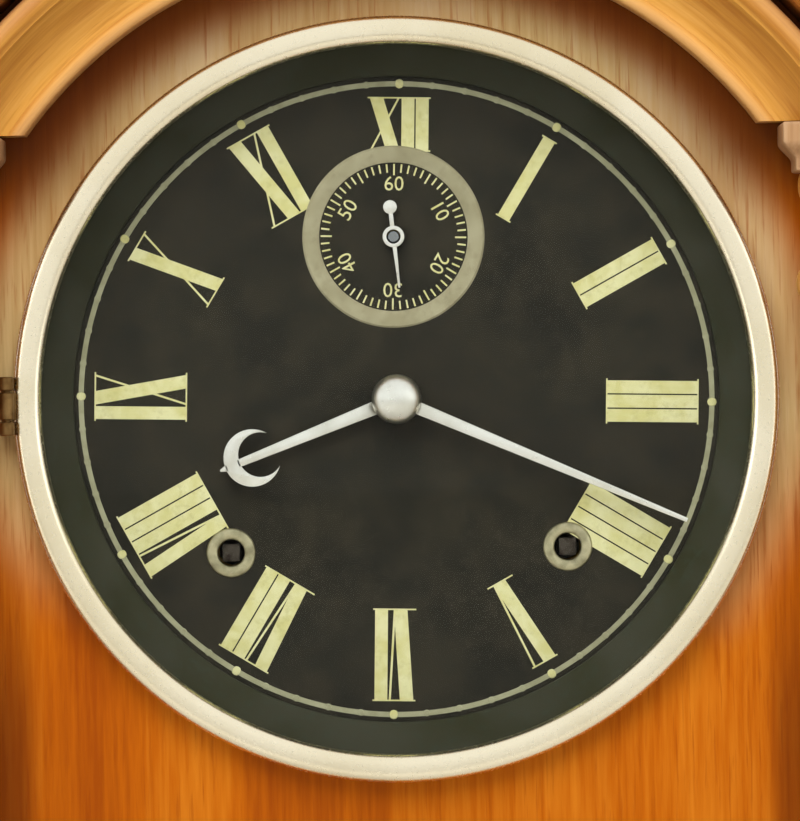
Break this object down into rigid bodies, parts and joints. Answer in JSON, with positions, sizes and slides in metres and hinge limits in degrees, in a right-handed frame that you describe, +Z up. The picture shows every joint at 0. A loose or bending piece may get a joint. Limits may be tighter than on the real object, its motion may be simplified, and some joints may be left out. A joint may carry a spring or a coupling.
{
  "type": "calendar clock",
  "caption": "Arched wooden shelf clock with a time dial over a calendar dial, hinged glazed bezels, geared hands, pendulum and strike.",
  "frame": {"origin": "middle of the base's underside", "axes": "+Z up, the dials face -Y, +X is on the reader's right"},
  "size_m": [0.234, 0.158, 0.432],
  "materials": {
    "case_wood": "orange-brown varnished oak",
    "golden_wood": "golden varnished oak",
    "back_wood": "plain planed pine",
    "bezel_nickel": "polished warm nickel plate",
    "hand_nickel": "satin nickel plate",
    "clear_glass": "clear convex glass",
    "dial_black": "aged black dial paint",
    "brass": "rolled and machined brass",
    "steel": "drawn steel",
    "drum_paper": "cream paper on a light drum"
  },
  "bodies": {
    "case": {"base_plinth": "case_wood", "base_moulding": "golden_wood", "front_panel": "case_wood", "back_board": "back_wood", "roof_arch": "case_wood", "arch_moulding": "golden_wood", "left_side_board": "case_wood", "left_column": "golden_wood", "left_capital": "case_wood", "right_side_board": "case_wood", "right_column": "golden_wood", "right_capital": "case_wood", "time_hinge": "brass", "time_sight_ring": "dial_black", "calendar_hinge": "brass", "calendar_sight_ring": "dial_black", "time_dial": "dial_black", "calendar_dial": "dial_black", "front_plate": "brass", "back_plate": "brass", "upper_left_pillar": "steel", "upper_right_pillar": "steel", "lower_left_pillar": "steel", "lower_right_pillar": "steel", "suspension_cock": "brass", "gong": "steel", "calendar_frame": "brass"},
    "seconds": {"escape_arbor": "steel", "escape_wheel": "brass", "seconds_hand": "hand_nickel"},
    "third": {"third_wheel": "brass"},
    "minute": {"centre_arbor": "steel", "centre_wheel": "brass", "cannon_pipe": "steel", "minute_hand": "hand_nickel", "hand_nut": "hand_nickel"},
    "motion": {"minute_wheel": "brass"},
    "hour": {"hour_wheel": "brass", "hour_hand": "hand_nickel"},
    "second": {"second_wheel": "brass"},
    "going_barrel": {"time_barrel": "brass"},
    "going_winder": {"time_winding_arbor": "steel"},
    "striking_barrel": {"strike_barrel": "brass"},
    "striking_winder": {"strike_winding_arbor": "steel"},
    "striking_pins": {"strike_pin_wheel": "brass"},
    "striking_hammer": {"hammer": "steel"},
    "pendulum": {"pallets": "steel", "suspension_spring": "steel", "pendulum_rod": "steel", "pendulum_bob": "brass"},
    "rating": {"rating_nut": "brass"},
    "time_door": {"time_bezel": "bezel_nickel", "time_glass": "clear_glass"},
    "calendar_door": {"calendar_bezel": "bezel_nickel", "calendar_glass": "clear_glass"},
    "date": {"date_wheel": "brass", "date_hand": "hand_nickel"},
    "day": {"day_drum": "drum_paper"},
    "month": {"month_drum": "drum_paper"}
  },
  "joints": [
    {"name": "seconds_turn", "type": "hinge", "parent": "case", "child": "seconds", "pos_m": [0, 0, 0.3468], "axis": [0, 1, 0], "continuous": true},
    {"name": "third_turn", "type": "hinge", "parent": "case", "child": "third", "pos_m": [0.012, 0, 0.3304], "axis": [0, 1, 0], "continuous": true},
    {"name": "minute_turn", "type": "hinge", "parent": "case", "child": "minute", "pos_m": [0, 0, 0.314], "axis": [0, 1, 0], "continuous": true},
    {"name": "motion_turn", "type": "hinge", "parent": "case", "child": "motion", "pos_m": [0, 0, 0.296], "axis": [0, 1, 0], "continuous": true},
    {"name": "hour_turn", "type": "hinge", "parent": "case", "child": "hour", "pos_m": [0, 0, 0.314], "axis": [0, 1, 0], "continuous": true},
    {"name": "second_turn", "type": "hinge", "parent": "case", "child": "second", "pos_m": [0.02036, 0, 0.30785], "axis": [0, 1, 0], "continuous": true},
    {"name": "going_barrel_turn", "type": "hinge", "parent": "case", "child": "going_barrel", "pos_m": [0.034, 0, 0.2836], "axis": [0, 1, 0], "continuous": true},
    {"name": "going_wind", "type": "hinge", "parent": "case", "child": "going_winder", "pos_m": [0.034, 0, 0.2836], "axis": [0, 1, 0], "continuous": true},
    {"name": "striking_barrel_turn", "type": "hinge", "parent": "case", "child": "striking_barrel", "pos_m": [-0.034, 0, 0.2836], "axis": [0, 1, 0], "continuous": true},
    {"name": "striking_wind", "type": "hinge", "parent": "case", "child": "striking_winder", "pos_m": [-0.034, 0, 0.2836], "axis": [0, 1, 0], "continuous": true},
    {"name": "striking_pins_turn", "type": "hinge", "parent": "case", "child": "striking_pins", "pos_m": [-0.02036, 0, 0.30785], "axis": [0, 1, 0], "continuous": true},
    {"name": "hammer_lift", "type": "hinge", "parent": "case", "child": "striking_hammer", "pos_m": [-0.02081, 0, 0.254], "axis": [0, 1, 0], "range_deg": [0, 15]},
    {"name": "pendulum_swing", "type": "hinge", "parent": "case", "child": "pendulum", "pos_m": [0, 0, 0.368], "axis": [0, 1, 0], "range_deg": [-4, 4]},
    {"name": "rating_turn", "type": "hinge", "parent": "pendulum", "child": "rating", "pos_m": [0, 0.034, 0.093], "axis": [0, 0, 1], "continuous": true},
    {"name": "time_door_swing", "type": "hinge", "parent": "case", "child": "time_door", "pos_m": [-0.0779, -0.0464, 0.314], "axis": [0, 0, -1], "range_deg": [0, 85]},
    {"name": "calendar_door_swing", "type": "hinge", "parent": "case", "child": "calendar_door", "pos_m": [-0.0779, -0.0464, 0.142], "axis": [0, 0, -1], "range_deg": [0, 85]},
    {"name": "date_turn", "type": "hinge", "parent": "case", "child": "date", "pos_m": [0, 0, 0.142], "axis": [0, 1, 0], "continuous": true},
    {"name": "day_turn", "type": "hinge", "parent": "case", "child": "day", "pos_m": [-0.027, -0.0171, 0.142], "axis": [1, 0, 0], "continuous": true},
    {"name": "month_turn", "type": "hinge", "parent": "case", "child": "month", "pos_m": [0.027, -0.0171, 0.142], "axis": [1, 0, 0], "continuous": true}
  ],
  "couplings": [
    {"joint": "third_turn", "follows": "seconds_turn", "ratio": -0.13333},
    {"joint": "minute_turn", "follows": "seconds_turn", "ratio": 0.016667},
    {"joint": "motion_turn", "follows": "seconds_turn", "ratio": -0.0055556},
    {"joint": "hour_turn", "follows": "seconds_turn", "ratio": 0.0013889},
    {"joint": "second_turn", "follows": "seconds_turn", "ratio": -0.0041667},
    {"joint": "going_barrel_turn", "follows": "seconds_turn", "ratio": 0.00069444},
    {"joint": "striking_pins_turn", "follows": "striking_barrel_turn", "ratio": -6},
    {"joint": "day_turn", "follows": "date_turn", "ratio": 4.4286},
    {"joint": "month_turn", "follows": "date_turn", "ratio": 0.083333}
  ]
}
